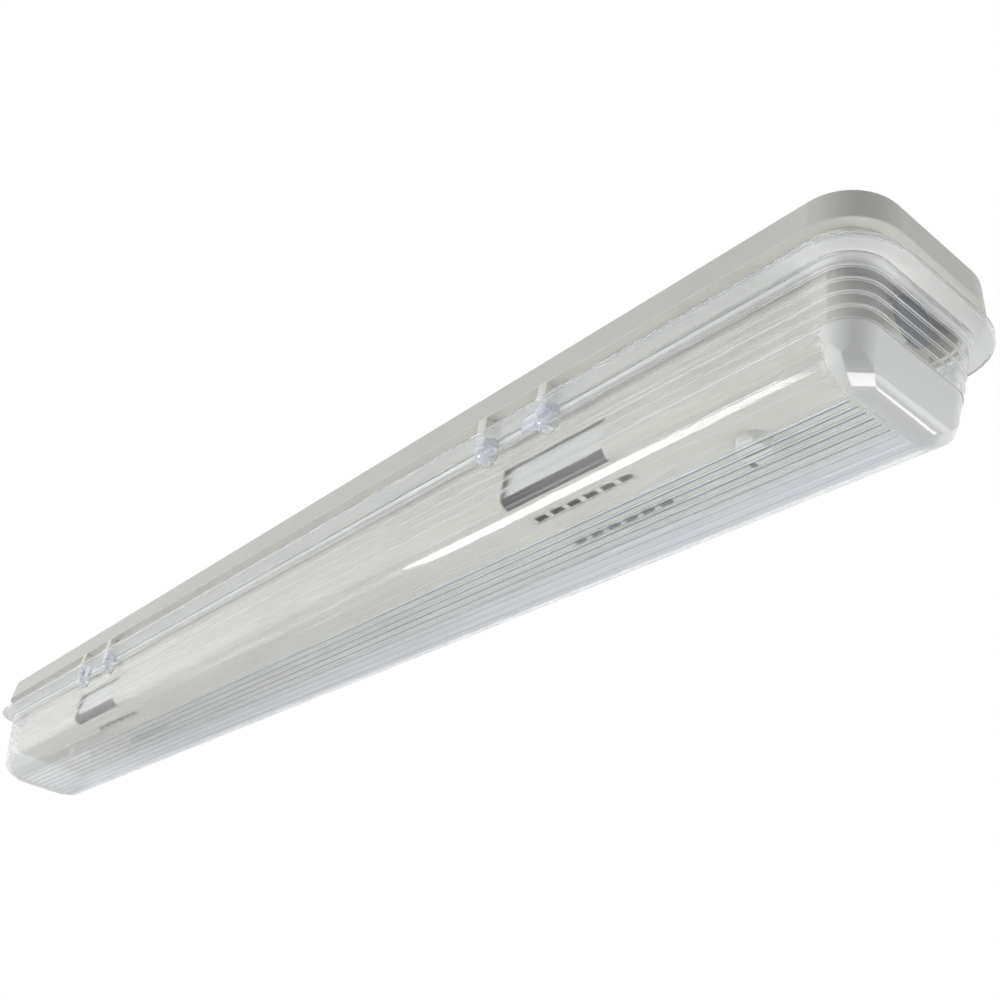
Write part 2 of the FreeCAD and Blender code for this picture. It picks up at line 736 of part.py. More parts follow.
def inner_cover():
    """The white channel behind the diffuser, notched beside the latches."""
    outer = channel("cover_outer", "0", "2 * " + HALF_COVER)
    inner = channel("cover_inner", "cover_wall", "2 * %s + 2 * overrun" % HALF_COVER)
    tools = [inner] + vents()
    low = "%s - overrun" % COVER_LOW
    through = "cover_wall + 2 * overrun"
    for name, end in SIDES:
        stud_x = "(%d * %s)" % (end, STUD_OFFSET)
        for side in (1, -1):
            notch = ("notch_length", "2 * notch_cut", "notch_height + overrun")
            at = ("(%d * notch_offset)" % end, "(%d * %s / 2)" % (side, COVER_WIDTH), low)
            tools.append(block("notch_%s_%d" % (name, side + 2), notch, at))
        tools.append(rod("stud_eye_" + name, "stud_radius + running_gap", through, (stud_x, "0", low)))
        tools.append(rod("locating_hole_" + name, "locating_hole_radius", through,
                         ("(%s - locating_hole_step)" % stud_x, "locating_hole_side", low)))
    finish("inner_cover", cut("cover_channel", outer, tools))


def end_plate(name, end):
    """A cap for one end of the inner cover, with a lip that lies inside it."""
    face = "(%d * (%s + end_plate_thickness / 2))" % (end, HALF_COVER)
    plate = channel(name + "_plate", "0", "end_plate_thickness", face)
    lip_middle = "(%d * (%s - end_lip_depth / 2))" % (end, HALF_COVER)
    lip = channel(name + "_lip", "cover_wall + fit_gap", "end_lip_depth", lip_middle)
    room_middle = "(%d * (%s - end_lip_depth / 2 - overrun))" % (end, HALF_COVER)
    room = channel(name + "_room", "2 * cover_wall + fit_gap", "end_lip_depth + 2 * overrun", room_middle)
    solid = together(name + "_solid", [plate, cut(name + "_lip_ring", lip, [room])])
    if end > 0:
        hole = rod(name + "_hole", "buffer_neck_radius", "end_plate_thickness + end_lip_depth",
                   ("(%s - end_lip_depth / 2)" % HALF_COVER, "0", BUFFER_MIDDLE), ALONG_X)
        solid = cut(name + "_bored", solid, [hole])
    finish(name, solid)


def end_buffer():
    """A white post in the right end plate with a dark rubber pad on its face."""
    outside = "(%s + end_plate_thickness)" % HALF_COVER
    flange_start = "(%s - buffer_flange_thickness)" % HALF_COVER
    pad_start = "(%s + buffer_post_length)" % outside
    stem_start = "(%s - buffer_stem_length)" % pad_start

    def turned(name, radius, length, start):
        return rod(name, radius, length, (start, "0", BUFFER_MIDDLE), ALONG_X)

    flange = turned("buffer_flange", "buffer_flange_radius", "buffer_flange_thickness", flange_start)
    neck = turned("buffer_neck", "buffer_neck_radius", "end_plate_thickness", HALF_COVER)
    head = turned("buffer_head", "buffer_head_radius", "buffer_post_length", outside)
    socket = turned("buffer_socket", "buffer_stem_radius + running_gap", "buffer_stem_length + overrun",
                    stem_start)
    finish("end_buffer_post", cut("buffer_post", together("buffer_post_solid", [flange, neck, head]), [socket]))
    pad = turned("buffer_pad_disc", "buffer_radius", "buffer_pad_thickness", pad_start)
    stem = turned("buffer_pad_stem", "buffer_stem_radius", "buffer_stem_length", stem_start)
    finish("end_buffer_pad", together("buffer_pad", [pad, stem]))


def gear_tray():
    """The folded white sheet that carries the gear on top and the boards below."""
    mouth_low = "(%s - tray_depth)" % WEB_TOP
    length = "(2 * (%s - end_lip_depth - tray_end_gap))" % HALF_COVER
    outer = trough_bar("tray_outer", "YZ_Plane", TRAY_MOUTH, "tray_depth", "tray_flare", "tray_bend",
                       length, ("0", "0", mouth_low), UPSIDE_DOWN)
    wall_run = "(tray_sheet / cos(tray_flare))"
    inner = trough_bar("tray_inner", "YZ_Plane", "%s - 2 * %s" % (TRAY_MOUTH, wall_run),
                       "tray_depth - tray_sheet", "tray_flare", "tray_bend - tray_sheet",
                       length + " + 2 * overrun", ("0", "0", mouth_low), UPSIDE_DOWN)
    holes = []
    stud_hole = "stud_radius + running_gap"
    screw_hole = "screw_radius + running_gap"
    spots = [(stud_hole, "(%d * %s)" % (end, STUD_OFFSET), "0") for name, end in SIDES]
    spots += [(screw_hole, along, across) for along, across in board_screw_places()]
    spots += [(screw_hole, along, across) for along, across in tab_places() + ear_places()]
    spots += [("led_lead_hole_radius", SOCKET_PLACE, "(%d * led_lead_side)" % side) for side in (1, -1)]
    spots.append((screw_hole, EARTH_PLACE, EARTH_SIDE))
    for number, (radius, along, across) in enumerate(spots, 1):
        holes.append(rod("tray_hole_%d" % number, radius, "tray_sheet + 2 * overrun",
                         (along, across, "%s - overrun" % WEB_LOW)))
    finish("gear_tray", cut("tray_channel", outer, [inner] + holes))


def turn_stud(name, end):
    """A quarter-turn stud: a slotted knob below the cover and a bar that locks in the boss."""
    along = "(%d * %s)" % (end, STUD_OFFSET)
    knob_top = "(%s - fit_gap)" % COVER_LOW
    knob_low = "(%s - knob_height)" % knob_top
    bar_low = "(%s + boss_floor + fit_gap)" % WEB_TOP
    knob = rod(name + "_knob", "knob_radius", "knob_height", (along, "0", knob_low))
    shank = rod(name + "_shank", "stud_radius", "%s - %s" % (bar_low, knob_top), (along, "0", knob_top))
    bar = block(name + "_bar", ("stud_bar_length", "stud_bar_width", "stud_bar_height"),
                (along, "0", bar_low))
    slot = block(name + "_slot", ("2 * knob_radius + overrun", "knob_slot_width",
                                  "knob_slot_depth + overrun"), (along, "0", "%s - overrun" % knob_low))
    flats = []
    for side in (1, -1):
        across = "(%d * knob_radius)" % side
        flats.append(block("%s_flat_%d" % (name, side + 2),
                           ("2 * knob_radius", "2 * knob_flat", "knob_height / 2 + overrun"),
                           (along, across, "%s - overrun" % knob_low)))
    finish(name, cut(name + "_turned", together(name + "_solid", [knob, shank, bar]), [slot] + flats))


def stud_sleeves():
    """The two spacer tubes that hold the inner cover off the tray."""
    sleeves = []
    for name, end in SIDES:
        along = "(%d * %s)" % (end, STUD_OFFSET)
        height = "(%s - %s)" % (WEB_LOW, COVER_FLOOR)
        tube = rod("sleeve_" + name, "sleeve_radius", height, (along, "0", COVER_FLOOR))
        bore = rod("sleeve_bore_" + name, "stud_radius + running_gap", height + " + 2 * overrun",
                   (along, "0", "%s - overrun" % COVER_FLOOR))
        sleeves.append(cut("stud_sleeve_" + name, tube, [bore]))
    finish("stud_sleeves", together("sleeves", sleeves))


def board_places():
    """The four boards: right and left, near and far."""
    for end_name, end in SIDES:
        for side_name, side in (("near", -1), ("far", 1)):
            along = "(%d * %s)" % (end, BOARD_MIDDLE)
            yield end_name + "_" + side_name, along, "(%d * %s)" % (side, BOARD_SIDE)


def board_screw_places():
    """Two screws to a board."""
    places = []
    for name, along, across in board_places():
        for step in (-1, 1):
            spot = "(%s + %d * %s)" % (along, step * CHIPS_TO_SCREW, CHIP_PITCH)
            places.append((spot, across))
    return places


def led_boards():
    low = "(%s - board_thickness)" % WEB_LOW
    for name, along, across in board_places():
        board_size = (BOARD_LENGTH, BOARD_WIDTH, "board_thickness")
        board = block("board_" + name, board_size, (along, across, low))
        holes = []
        for step in (-1, 1):
            spot = "(%s + %d * %s)" % (along, step * CHIPS_TO_SCREW, CHIP_PITCH)
            holes.append(rod("board_hole_%s_%d" % (name, step + 2), "screw_radius + running_gap",
                             "board_thickness + 2 * overrun", (spot, across, "%s - overrun" % low)))
        finish("led_board_" + name, cut("board_drilled_" + name, board, holes))


def led_chips():
    chips = []
    low = "(%s - board_thickness - chip_height)" % WEB_LOW
    for name, along, across in board_places():
        for number in range(CHIPS_PER_BOARD):
            step = number - (CHIPS_PER_BOARD - 1) / 2
            spot = "(%s + %s * %s)" % (along, step, CHIP_PITCH)
            chips.append(block("chip_%s_%d" % (name, number + 1), ("chip_size", "chip_size", "chip_height"),
                               (spot, across, low)))
    finish("led_chips", together("chips", chips))


def screws(name, places, seat, grip, facing):
    """Screws of one kind: heads on a seat, shanks through what they hold."""
    pieces = []
    head_low = seat if facing > 0 else "(%s - screw_head_height)" % seat
    shank_low = "(%s - (%s))" % (seat, grip) if facing > 0 else seat
    for number, (along, across) in enumerate(places, 1):
        label = "%s_%d" % (name, number)
        head = rod(label + "_head", "screw_head_radius", "screw_head_height", (along, across, head_low))
        shank = rod(label + "_shank", "screw_radius", grip, (along, across, shank_low))
        notch_low = "(%s + screw_head_height / 2)" % head_low if facing > 0 else "(%s - overrun)" % head_low
        notch = block(label + "_notch", ("2 * screw_head_radius + overrun", "screw_head_height / 3",
                                         "screw_head_height / 2 + overrun"), (along, across, notch_low))
        pieces.append(cut(label + "_screw", together(label + "_turned", [head, shank]), [notch]))
    finish(name, together(name + "_set", pieces))


def board_screws():
    seat = "(%s - board_thickness)" % WEB_LOW
    screws("board_screws", board_screw_places(), seat, "board_thickness + tray_sheet", -1)


def board_connectors():
    """The links between right and left boards, and the sockets where the leads go in."""
    pieces = []
    low = "(%s - board_thickness - connector_height)" % WEB_LOW
    for name, side in (("near", -1), ("far", 1)):
        for kind, along in (("link", "0"), ("socket", SOCKET_PLACE)):
            pieces.append(block("%s_%s" % (kind, name), ("connector_length", "connector_width",
                                                         "connector_height"),
                                (along, "(%d * %s)" % (side, BOARD_SIDE), low)))
    finish("board_connectors", together("connectors", pieces))


CASE_LOW = WEB_TOP
FLOOR_TOP = "(%s + driver_sheet)" % WEB_TOP
CIRCUIT_LOW = "(%s + driver_sheet + post_height)" % WEB_TOP
CIRCUIT_TOP = "(%s + driver_sheet + post_height + circuit_thickness)" % WEB_TOP
CASE_TOP = "(%s + driver_height - driver_sheet)" % WEB_TOP


def tab_places():
    """The screws in the tabs at the driver's ends."""
    return [("(%s + %d * (driver_length + tab_length) / 2)" % (DRIVER_PLACE, end), "0") for end in (-1, 1)]


def driver_case():
    """The driver's open steel box, with fixing tabs and posts under the circuit board."""
    outer_size = ("driver_length", "driver_width", "driver_height - driver_sheet")
    outer = block("case_outer", outer_size, (DRIVER_PLACE, "0", CASE_LOW))
    tabs = block("case_tabs", ("driver_length + 2 * tab_length", "tab_width", "driver_sheet"),
                 (DRIVER_PLACE, "0", CASE_LOW))
    inner_size = ("driver_length - 2 * driver_sheet", "driver_width - 2 * driver_sheet", "driver_height")
    holes = [block("case_inner", inner_size, (DRIVER_PLACE, "0", FLOOR_TOP))]
    for number, (along, across) in enumerate(tab_places(), 1):
        holes.append(rod("tab_hole_%d" % number, "screw_radius + running_gap",
                         "driver_sheet + 2 * overrun", (along, across, "%s - overrun" % CASE_LOW)))
    entries = [(-1, "terminal_pitch"), (-1, "0"), (1, "led_lead_side"), (1, "(-led_lead_side)")]
    for number, (end, across) in enumerate(entries, 1):
        start = "(%s + %d * driver_length / 2 - 2 * driver_sheet)" % (DRIVER_PLACE, end)
        holes.append(rod("case_entry_%d" % number, "lead_radius + running_gap", "4 * driver_sheet",
                         (start, across, LEAD_LEVEL), ALONG_X))
    box = cut("case_box", together("case_sheet", [outer, tabs]), holes)
    posts = []
    for end in (-1, 1):
        for side in (-1, 1):
            along = "(%s + %d * (driver_length / 2 - circuit_margin - post_side))" % (DRIVER_PLACE, end)
            across = "(%d * (driver_width / 2 - circuit_margin - post_side / 2))" % side
            posts.append(block("post_%d_%d" % (end + 2, side + 2), ("post_side", "post_side", "post_height"),
                               (along, across, FLOOR_TOP)))
    finish("driver_case", together("case_with_posts", [box] + posts))
    screws("driver_screws", tab_places(), FLOOR_TOP, "driver_sheet + tray_sheet", 1)


def driver_lid():
    lid = block("lid_sheet", ("driver_length", "driver_width", "driver_sheet"),
                (DRIVER_PLACE, "0", CASE_TOP))
    finish("driver_lid", lid)


def driver_circuit():
    """The circuit board on its posts and the wound and round parts that stand on it."""
    board_size = ("driver_length - 2 * circuit_margin - 2 * driver_sheet",
                  "driver_width - 2 * circuit_margin", "circuit_thickness")
    finish("driver_circuit", block("circuit", board_size, (DRIVER_PLACE, "0", CIRCUIT_LOW)))
    winding_size = ("winding_length", "winding_width", "winding_height")
    winding = block("winding", winding_size, (DRIVER_PLACE, "0", CIRCUIT_TOP))
    finish("driver_transformer", winding)
    cans = []
    for number in range(3):
        along = "(%s + winding_length + (%d + 1) * capacitor_pitch)" % (DRIVER_PLACE, number)
        cans.append(rod("can_%d" % number, "capacitor_radius", "capacitor_height",
                        (along, "0", CIRCUIT_TOP)))
    finish("driver_capacitors", together("cans", cans))


def ear_places():
    """The screws in the ears of the terminal block."""
    return [(TERMINAL_PLACE, "(%d * (terminal_width + ear_reach) / 2)" % side) for side in (-1, 1)]


def terminal_block():
    """Three pairs of screw terminals in a white moulding, and its screws."""
    body = block("terminal_body", ("terminal_length", "terminal_width", "terminal_height"),
                 (TERMINAL_PLACE, "0", WEB_TOP))
    ears = block("terminal_ears", ("terminal_length / 2", "terminal_width + 2 * ear_reach", "ear_thickness"),
                 (TERMINAL_PLACE, "0", WEB_TOP))
    holes, pinches = [], []
    top = "(%s + terminal_height)" % WEB_TOP
    floor = "(%s - 2 * terminal_screw_depth)" % top
    notch_low = "(%s + 0.75 * terminal_screw_depth)" % floor
    notch_size = ("2 * terminal_screw_radius + overrun", "terminal_screw_depth / 4",
                  "terminal_screw_depth / 4 + overrun")
    for pole in (-1, 0, 1):
        across = "(%d * terminal_pitch)" % pole
        holes.append(rod("tunnel_%d" % (pole + 2), "terminal_screw_radius", "terminal_length + 2 * overrun",
                         ("(%s - terminal_length / 2 - overrun)" % TERMINAL_PLACE, across, LEAD_LEVEL), ALONG_X))
        for row in (-1, 1):
            along = "(%s + %d * terminal_row)" % (TERMINAL_PLACE, row)
            label = "%d_%d" % (pole + 2, row + 2)
            holes.append(rod("well_" + label, "terminal_screw_radius + running_gap",
                             "2 * terminal_screw_depth + overrun", (along, across, floor)))
            pinch = rod("pinch_" + label, "terminal_screw_radius", "terminal_screw_depth",
                        (along, across, floor))
            notch = block("pinch_notch_" + label, notch_size, (along, across, notch_low))
            pinches.append(cut("pinch_screw_" + label, pinch, [notch]))
    for number, (along, across) in enumerate(ear_places(), 1):
        holes.append(rod("ear_hole_%d" % number, "screw_radius + running_gap",
                         "ear_thickness + 2 * overrun", (along, across, "%s - overrun" % WEB_TOP)))
    finish("terminal_block", cut("terminal_drilled", together("terminal_solid", [body, ears]), holes))
    finish("terminal_screws", together("pinch_screws", pinches))
    screws("terminal_fixings", ear_places(), "(%s + ear_thickness)" % WEB_TOP,
           "ear_thickness + tray_sheet", 1)


def earth_joint():
    """The ring lug of the earth lead and the screw that clamps it to the tray."""
    lug_top = "(%s + earth_ring_thickness)" % WEB_TOP
    ring = rod("earth_ring", "earth_ring_radius", "earth_ring_thickness", (EARTH_PLACE, EARTH_SIDE, WEB_TOP))
    neck_length = "(earth_ring_radius + earth_barrel_radius)"
    neck = block("earth_neck", (neck_length, "2 * earth_barrel_radius", "earth_ring_thickness"),
                 ("(%s - %s / 2)" % (EARTH_PLACE, neck_length), EARTH_SIDE, WEB_TOP))
    barrel_start = "(%s - %s - earth_barrel_length)" % (EARTH_PLACE, neck_length)
    barrel = rod("earth_barrel", "earth_barrel_radius", "earth_barrel_length",
                 (barrel_start, EARTH_SIDE, BARREL_LEVEL), ALONG_X)
    barrel_bore = rod("earth_barrel_bore", "lead_radius + running_gap", "earth_barrel_length + overrun",
                      ("(%s - overrun)" % barrel_start, EARTH_SIDE, BARREL_LEVEL), ALONG_X)
    ring_hole = rod("earth_ring_hole", "screw_radius + running_gap", "earth_ring_thickness + 2 * overrun",
                    (EARTH_PLACE, EARTH_SIDE, "%s - overrun" % WEB_TOP))
    finish("earth_lug", cut("earth_lug_bored", together("earth_lug_solid", [ring, neck, barrel]),
                            [barrel_bore, ring_hole]))
    head = rod("earth_head", "earth_head_radius", "earth_head_height", (EARTH_PLACE, EARTH_SIDE, lug_top))
    shank = rod("earth_shank", "screw_radius", "earth_ring_thickness + tray_sheet",
                (EARTH_PLACE, EARTH_SIDE, WEB_LOW))
    slot = block("earth_slot", ("2 * earth_head_radius + overrun", "earth_head_height / 3",
                                "earth_head_height / 3 + overrun"),
                 (EARTH_PLACE, EARTH_SIDE, "(%s + 2 / 3 * earth_head_height)" % lug_top))
    finish("earth_screw", cut("earth_fastener", together("earth_parts", [head, shank]), [slot]))


def gland():
    """The cable gland in the left end wall: body, seal, cap and lock nut."""
    wall_face = "(-%s)" % HALF_BASE
    height = "-gland_height"
    inner_face = "(%s + gland_pad_depth)" % wall_face
    collar_start = "(%s - gland_collar)" % wall_face
    neck_start = "(%s - gland_neck)" % collar_start
    thread_run = "(gland_pad_depth + gland_nut_thickness + overrun)"
    collar = hexagon("gland_collar_hex", "gland_flat", "gland_collar", (collar_start, "0", height), ALONG_X)
    thread = rod("gland_thread", "gland_thread_radius", thread_run, (wall_face, "0", height), ALONG_X)
    neck = rod("gland_neck_rod", "gland_neck_radius", "gland_neck", (neck_start, "0", height), ALONG_X)
    bore = rod("gland_bore_rod", "gland_bore", "gland_neck + gland_collar + %s + 2 * overrun" % thread_run,
               ("(%s - overrun)" % neck_start, "0", height), ALONG_X)
    throat = rod("gland_throat_rod", "gland_throat", "gland_seal_length + overrun",
                 ("(%s - overrun)" % neck_start, "0", height), ALONG_X)
    solid = together("gland_solid", [collar, thread, neck])
    finish("gland_body", cut("gland_bored", solid, [bore, throat]))
    seal = rod("gland_seal_rod", "gland_throat", "gland_seal_length", (neck_start, "0", height), ALONG_X)
    seal_bore = rod("gland_seal_bore", "gland_bore", "gland_seal_length + 2 * overrun",
                    ("(%s - overrun)" % neck_start, "0", height), ALONG_X)
    finish("gland_seal", cut("gland_seal_ring", seal, [seal_bore]))
    cap_start = "(%s - gland_cap_length + gland_neck)" % neck_start
    cap = hexagon("gland_cap_hex", "gland_flat", "gland_cap_length", (cap_start, "0", height), ALONG_X)
    cap_room = rod("gland_cap_room", "gland_neck_radius + running_gap", "gland_cap_length",
                   (neck_start, "0", height), ALONG_X)
    cap_bore = rod("gland_cap_bore", "gland_bore", "gland_cap_length + 2 * overrun",
                   ("(%s - overrun)" % cap_start, "0", height), ALONG_X)
    cap_round = cone("gland_cap_round", "gland_neck_radius + gland_cap_wall",
                     "gland_neck_radius + gland_cap_wall + gland_cap_length", "gland_cap_length",
                     (cap_start, "0", height), ALONG_X)
    shaped = common("gland_cap_shaped", [cap, cap_round])
    finish("gland_cap", cut("gland_cap_bored", shaped, [cap_room, cap_bore]))
    nut = hexagon("gland_nut_hex", "gland_flat", "gland_nut_thickness", (inner_face, "0", height), ALONG_X)
    nut_bore = rod("gland_nut_bore", "gland_thread_radius + running_gap", "gland_nut_thickness + 2 * overrun",
                   ("(%s - overrun)" % inner_face, "0", height), ALONG_X)
    finish("gland_locknut", cut("gland_nut_bored", nut, [nut_bore]))


def rear_entry_plug():
    """The rubber plug in the spare cable hole of the back."""
    stem = rod("plug_stem", "plug_radius", "base_wall", (PLUG_PLACE, "0", "-base_wall"))
    flange = rod("plug_disc", "plug_radius + plug_flange", "plug_flange_thickness",
                 (PLUG_PLACE, "0", "-base_wall - plug_flange_thickness"))
    finish("rear_entry_plug", together("plug", [stem, flange]))


def fixing_seals():
    """The soft washers under the two ceiling screws."""
    seals = []
    for name, end in SIDES:
        along = "(%d * %s)" % (end, FIXING_PLACE)
        low = "-base_wall - fixing_seal_thickness"
        disc = rod("seal_disc_" + name, "fixing_seal_radius", "fixing_seal_thickness", (along, "0", low))
        eye = rod("seal_eye_" + name, "fixing_hole_radius", "fixing_seal_thickness + 2 * overrun",
                  (along, "0", "%s - overrun" % low))
        seals.append(cut("fixing_seal_" + name, disc, [eye]))
    finish("fixing_seals", together("seals", seals))


def vector(along, across, height):
    return FreeCAD.Vector(size(along), size(across), size(height))


def lead(name, corners):
    """A round lead along straight runs that are joined by arcs."""
    bend = size("lead_bend")
    edges = []
    here = corners[0]
    for before, corner, after in zip(corners, corners[1:], corners[2:]):
        back = (before - corner).normalize()
        ahead = (after - corner).normalize()
        half_angle = back.getAngle(ahead) / 2
        trim = bend / math.tan(half_angle)
        crest = corner + (back + ahead).normalize() * (bend / math.sin(half_angle) - bend)
        first, last = corner + back * trim, corner + ahead * trim
        edges.append(Part.LineSegment(here, first).toShape())
        edges.append(Part.Arc(first, crest, last).toShape())
        here = last
    edges.append(Part.LineSegment(here, corners[-1]).toShape())
    circle = Part.Circle(corners[0], corners[1] - corners[0], size("lead_radius"))
    item = doc.addObject("Part::Feature", name + "_tube")
    item.Shape = Part.Wire(edges).makePipeShell([Part.Wire([circle.toShape()])], True, False)
    finish(name, item)


def mains_leads():
    """Live and neutral sway on their way from the terminals to the driver."""
    start = "(%s + terminal_length / 2 - lead_grip)" % TERMINAL_PLACE
    end = "(%s + driver_sheet)" % DRIVER_START
    turns = (0, 0, 1, -1, 0, 0)
    for name, across in (("live_lead", "terminal_pitch"), ("neutral_lead", "0")):
        corners = []
        for step, turn in enumerate(turns):
            along = "(%s + %d / %d * (%s - %s))" % (start, step, len(turns) - 1, end, start)
            corners.append(vector(along, "(%s + %d * lead_sway)" % (across, turn), LEAD_LEVEL))
        lead(name, corners)


def earth_lead():
    """The earth lead drops from its terminal into the barrel of its lug."""
    start = "(%s + terminal_length / 2 - lead_grip)" % TERMINAL_PLACE
    neck_length = "(earth_ring_radius + earth_barrel_radius)"
    end = "(%s - %s - earth_barrel_length + lead_grip)" % (EARTH_PLACE, neck_length)
    run = "(%s - %s)" % (end, start)
    lead("earth_lead", [
        vector(start, EARTH_SIDE, LEAD_LEVEL),
        vector("(%s + %s / 3)" % (start, run), EARTH_SIDE, LEAD_LEVEL),
        vector("(%s + %s * 2 / 3)" % (start, run), EARTH_SIDE, BARREL_LEVEL),
        vector(end, EARTH_SIDE, BARREL_LEVEL),
    ])


def led_leads():
    """Two leads go from the driver down through the tray to the boards' sockets."""
    start = "(%s + driver_length / 2 - driver_sheet)" % DRIVER_PLACE
    socket_level = "(%s - board_thickness - connector_height / 2)" % WEB_LOW
    for name, side in (("led_lead_near", -1), ("led_lead_far", 1)):
        inside = "(%d * led_lead_side)" % side
        outside = "(%d * (%s - connector_width / 2))" % (side, BOARD_SIDE)
        lead(name, [
            vector(start, inside, LEAD_LEVEL),
            vector(SOCKET_PLACE, inside, LEAD_LEVEL),
            vector(SOCKET_PLACE, inside, socket_level),
            vector(SOCKET_PLACE, outside, socket_level),
        ])


def make_light():
    base_housing()
    gasket()
    diffuser()
    inner_cover()
    end_plate("cover_end_right", 1)
    end_plate("cover_end_left", -1)
    end_buffer()
    gear_tray()
    turn_stud("turn_stud_right", 1)
    turn_stud("turn_stud_left", -1)
    stud_sleeves()
    led_boards()
    led_chips()
    board_screws()
    board_connectors()
    driver_case()
    driver_lid()
    driver_circuit()
    terminal_block()
    earth_joint()
    gland()
    rear_entry_plug()
    fixing_seals()
    mains_leads()
    earth_lead()
    led_leads()


def check_and_write():
    doc.recompute()
    for item in doc.Objects:
        if "Invalid" in item.State or "Error" in item.State:
            raise RuntimeError("%s did not recompute" % item.Name)
    for name, item in SUB_PARTS.items():
        if item.Shape.isNull() or not item.Shape.isValid():
            raise RuntimeError("%s has no valid shape" % name)
    os.makedirs("parts", exist_ok=True)
    for name, item in SUB_PARTS.items():
        item.Shape.exportStep("parts/%s.step" % name)
        print(name, len(item.Shape.Solids), round(item.Shape.Volume, 1))


make_light()
check_and_write()
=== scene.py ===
import math

import bpy
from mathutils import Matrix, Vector


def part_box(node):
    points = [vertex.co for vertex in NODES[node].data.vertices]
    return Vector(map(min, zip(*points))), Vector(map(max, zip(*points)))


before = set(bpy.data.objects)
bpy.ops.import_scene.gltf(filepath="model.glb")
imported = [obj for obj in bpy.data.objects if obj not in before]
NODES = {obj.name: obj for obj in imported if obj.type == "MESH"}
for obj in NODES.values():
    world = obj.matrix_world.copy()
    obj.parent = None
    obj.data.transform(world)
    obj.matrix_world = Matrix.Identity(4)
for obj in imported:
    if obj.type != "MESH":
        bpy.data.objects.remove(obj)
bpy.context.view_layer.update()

# The frame gives the places that the materials and lamps are worked out from
DIFFUSER_LOW, DIFFUSER_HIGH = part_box("diffuser")
HALF_LENGTH = DIFFUSER_HIGH.x
HALF_WIDTH = DIFFUSER_HIGH.y
UNDERSIDE = DIFFUSER_LOW.z
BRIM_LOW = UNDERSIDE + 0.0735
FROST_TOP = UNDERSIDE + 0.033
FROST_START = HALF_LENGTH - 0.044
LUG_FACE = HALF_WIDTH - 0.0109
WALL_FOOT = -0.023

# The solid ribs in the diffuser's floor, counted on each side of its middle, and round its walls
RIB_PITCH = 0.007
FLOOR_RIBS = 4
CONTOUR_PITCH = 0.00815
CONTOUR_RIBS = 5

# Where some looks of the diffuser start and end, measured across it from its middle
RIBS_FADE = (-0.010, 0.025)
FLOOR_SHEEN = (-0.015, 0.030)
CORNER_MILK = (0.028, 0.044)

# How fine the noise is behind patches of colour, uneven gloss and moulded grain
PATCH_SCALE = 14.0
GLOSS_SCALE = 60.0
GRAIN_SCALE = 900.0

CAMERA_PLACE = (0.9217, -0.4760, -0.5249)
CAMERA_TURN = (121.3628, -7.6356, 50.0057)
CAMERA_LENS = 44.88
SENSOR_WIDTH = 36.0
WORLD_LEVEL = 0.38
STUDIO_DROP = 1.9
STUDIO_REACH = 6.0


def new_material(name):
    """A material with its main shader, ready for textures."""
    material = bpy.data.materials.new(name)
    material.use_nodes = True
    shader = material.node_tree.nodes["Principled BSDF"]
    return material, material.node_tree, shader


def add_node(tree, kind, **values):
    """A node with some of its inputs set."""
    node = tree.nodes.new(kind)
    for name, value in values.items():
        node.inputs[name.replace("_", " ")].default_value = value
    return node


def fill(tree, socket, value):
    """Gives an input a plain number, or joins it to another node's output."""
    if isinstance(value, (int, float)):
        socket.default_value = value
    else:
        tree.links.new(value, socket)


def calculate(tree, operation, first, second=0.0):
    """One step of arithmetic on sockets or plain numbers."""
    node = tree.nodes.new("ShaderNodeMath")
    node.operation = operation
    fill(tree, node.inputs[0], first)
    fill(tree, node.inputs[1], second)
    return node.outputs["Value"]


def all_of(tree, first, *others):
    """Holds only where all the masks hold."""
    result = first
    for mask in others:
        result = calculate(tree, "MULTIPLY", result, mask)
    return result


def add_share(tree, base, mask, share):
    """Adds a share to a value where a mask holds."""
    return calculate(tree, "ADD", base, calculate(tree, "MULTIPLY", mask, share))


def soft_step(tree, value, start, end):
    """Goes from 0 at the start to 1 at the end, and stays there."""
    node = add_node(tree, "ShaderNodeMapRange", From_Min=start, From_Max=end)
    node.interpolation_type = "SMOOTHSTEP"
    tree.links.new(value, node.inputs["Value"])
    return node.outputs["Result"]


def spread(tree, factor, low, high):
    """Turns a factor into a number between two values."""
    node = add_node(tree, "ShaderNodeMapRange", To_Min=low, To_Max=high)
    tree.links.new(factor, node.inputs["Value"])
    return node.outputs["Result"]


def object_place(tree):
    """The place on the piece, which moves along with it."""
    return add_node(tree, "ShaderNodeTexCoord").outputs["Object"]


def stretched_place(tree, stretch):
    """The place squeezed along some axes, for grain that runs one way."""
    mapping = add_node(tree, "ShaderNodeMapping", Scale=stretch)
    tree.links.new(object_place(tree), mapping.inputs["Vector"])
    return mapping.outputs["Vector"]


def coordinates(tree, place):
    """The three coordinates of a place."""
    parts = add_node(tree, "ShaderNodeSeparateXYZ")
    tree.links.new(place, parts.inputs["Vector"])
    return parts.outputs["X"], parts.outputs["Y"], parts.outputs["Z"]


def noise(tree, scale, detail, place):
    """Soft noise between 0 and 1."""
    node = add_node(tree, "ShaderNodeTexNoise", Scale=scale, Detail=detail)
    tree.links.new(place, node.inputs["Vector"])
    return node.outputs["Fac"]


def two_tones(tree, factor, low, high, start=0.3, end=0.7):
    """A soft step between two colours."""
    ramp = tree.nodes.new("ShaderNodeValToRGB")
    ramp.color_ramp.elements[0].position = start
    ramp.color_ramp.elements[0].color = (*low, 1.0)
    ramp.color_ramp.elements[1].position = end
    ramp.color_ramp.elements[1].color = (*high, 1.0)
    tree.links.new(factor, ramp.inputs["Fac"])
    return ramp.outputs["Color"]


